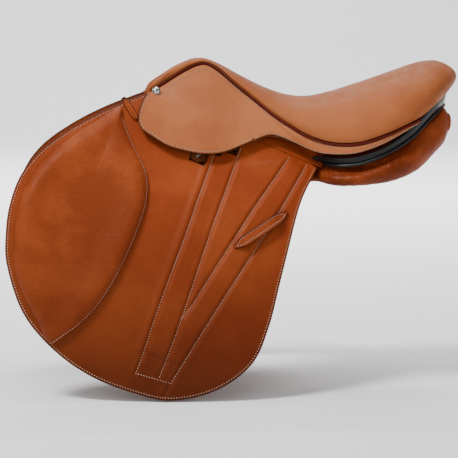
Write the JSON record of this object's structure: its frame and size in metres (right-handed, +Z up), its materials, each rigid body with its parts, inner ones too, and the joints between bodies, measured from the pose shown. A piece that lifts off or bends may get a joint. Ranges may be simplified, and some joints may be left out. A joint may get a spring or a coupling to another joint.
{
  "type": "jumping saddle",
  "caption": "Close-contact jumping saddle with deep seat, forward flap with knee pad, lifting skirt over a stirrup bar, and girth billets.",
  "frame": {"origin": "on the middle plane, in the channel above the horse's back, below the seat's front third", "axes": "+X to the cantle, +Z up, the saddle's left side is -Y"},
  "size_m": [0.6684, 0.4168, 0.4807],
  "materials": {
    "tan_leather": "satin, fine grain",
    "flap_leather": "satin, waxed",
    "pad_leather": "soft calf, satin",
    "dark_leather": "bridle leather",
    "welt_leather": "satin",
    "black_leather": "patent",
    "panel_leather": "satin, creased",
    "steel": "brushed",
    "chrome": "polished",
    "wood": "laminated beech",
    "web": "linen web",
    "foam": "latex foam"
  },
  "bodies": {
    "saddle": {"seat_cover": "tan_leather", "seat_foam": "foam", "seat_web": "web", "waist_web": "web", "tree_cantle": "wood", "head_plate": "steel", "tree_head": "wood", "gullet_plate": "steel", "rear_facing": "black_leather", "rear_piping": "black_leather", "pommel_facing": "tan_leather", "gullet_strip": "tan_leather", "welt_left": "welt_leather", "welt_right": "welt_leather", "skirt_band_left": "tan_leather", "skirt_band_right": "tan_leather", "tree_rail_left": "wood", "tree_rail_right": "wood", "flap_top_front_left": "flap_leather", "flap_top_front_right": "flap_leather", "flap_top_rear_left": "flap_leather", "flap_top_rear_right": "flap_leather", "stirrup_bar_left": "steel", "stirrup_bar_right": "steel", "bar_rivet_front_left": "steel", "bar_rivet_front_right": "steel", "bar_rivet_rear_left": "steel", "bar_rivet_rear_right": "steel", "girth_web_front_left": "web", "girth_web_front_right": "web", "girth_web_rear_left": "web", "girth_web_rear_right": "web", "sweat_flap_left": "dark_leather", "sweat_flap_right": "dark_leather", "panel_left": "panel_leather", "panel_right": "panel_leather", "head_nail_left": "chrome", "head_nail_right": "chrome"},
    "left_flap": {"flap_left": "flap_leather", "knee_pad_left": "pad_leather", "flap_keeper_left": "flap_leather", "front_loop_left": "tan_leather"},
    "right_flap": {"flap_right": "flap_leather", "knee_pad_right": "pad_leather", "flap_keeper_right": "flap_leather", "front_loop_right": "tan_leather"},
    "left_lobe": {"skirt_lobe_left": "tan_leather"},
    "right_lobe": {"skirt_lobe_right": "tan_leather"},
    "left_catch": {"bar_catch_left": "steel"},
    "right_catch": {"bar_catch_right": "steel"},
    "left_front_billet": {"billet_front_left": "dark_leather"},
    "left_mid_billet": {"billet_mid_left": "dark_leather"},
    "left_rear_billet": {"billet_rear_left": "dark_leather"},
    "right_front_billet": {"billet_front_right": "dark_leather"},
    "right_mid_billet": {"billet_mid_right": "dark_leather"},
    "right_rear_billet": {"billet_rear_right": "dark_leather"}
  },
  "joints": [
    {"name": "flap_left_lift", "type": "hinge", "parent": "saddle", "child": "left_flap", "pos_m": [-0.125, -0.084, 0.088], "axis": [-0.9119, 0.1099, 0.3955], "range_deg": [0, 85]},
    {"name": "flap_right_lift", "type": "hinge", "parent": "saddle", "child": "right_flap", "pos_m": [-0.125, 0.084, 0.088], "axis": [0.9119, 0.1099, -0.3955], "range_deg": [0, 85]},
    {"name": "skirt_left_lift", "type": "hinge", "parent": "left_flap", "child": "left_lobe", "pos_m": [-0.125, -0.084, 0.088], "axis": [-0.9119, 0.1099, 0.3955], "range_deg": [0, 60]},
    {"name": "skirt_right_lift", "type": "hinge", "parent": "right_flap", "child": "right_lobe", "pos_m": [-0.125, 0.084, 0.088], "axis": [0.9119, 0.1099, -0.3955], "range_deg": [0, 60]},
    {"name": "catch_left_turn", "type": "hinge", "parent": "saddle", "child": "left_catch", "pos_m": [-0.00345, -0.10354, 0.01566], "axis": [0.1409, -0.8212, 0.5529], "range_deg": [0, 75]},
    {"name": "catch_right_turn", "type": "hinge", "parent": "saddle", "child": "right_catch", "pos_m": [-0.00345, 0.10354, 0.01566], "axis": [-0.1409, -0.8212, -0.5529], "range_deg": [0, 75]},
    {"name": "billet_front_left_swing", "type": "hinge", "parent": "saddle", "child": "left_front_billet", "pos_m": [-0.085, -0.10348, 0.00525], "axis": [0.0025, 0.9582, -0.2862], "range_deg": [-2.5, 4]},
    {"name": "billet_mid_left_swing", "type": "hinge", "parent": "saddle", "child": "left_mid_billet", "pos_m": [-0.045, -0.1083, -0.0121], "axis": [-0.0021, 0.9557, -0.2944], "range_deg": [-2.5, 2.5]},
    {"name": "billet_rear_left_swing", "type": "hinge", "parent": "saddle", "child": "left_rear_billet", "pos_m": [-0.005, -0.11312, -0.02945], "axis": [-0.0108, 0.9508, -0.3097], "range_deg": [-4, 2.5]},
    {"name": "billet_front_right_swing", "type": "hinge", "parent": "saddle", "child": "right_front_billet", "pos_m": [-0.085, 0.10348, 0.00525], "axis": [-0.0025, 0.9582, 0.2862], "range_deg": [-2.5, 4]},
    {"name": "billet_mid_right_swing", "type": "hinge", "parent": "saddle", "child": "right_mid_billet", "pos_m": [-0.045, 0.1083, -0.0121], "axis": [0.0021, 0.9557, 0.2944], "range_deg": [-2.5, 2.5]},
    {"name": "billet_rear_right_swing", "type": "hinge", "parent": "saddle", "child": "right_rear_billet", "pos_m": [-0.005, 0.11312, -0.02945], "axis": [0.0108, 0.9508, 0.3097], "range_deg": [-4, 2.5]}
  ]
}
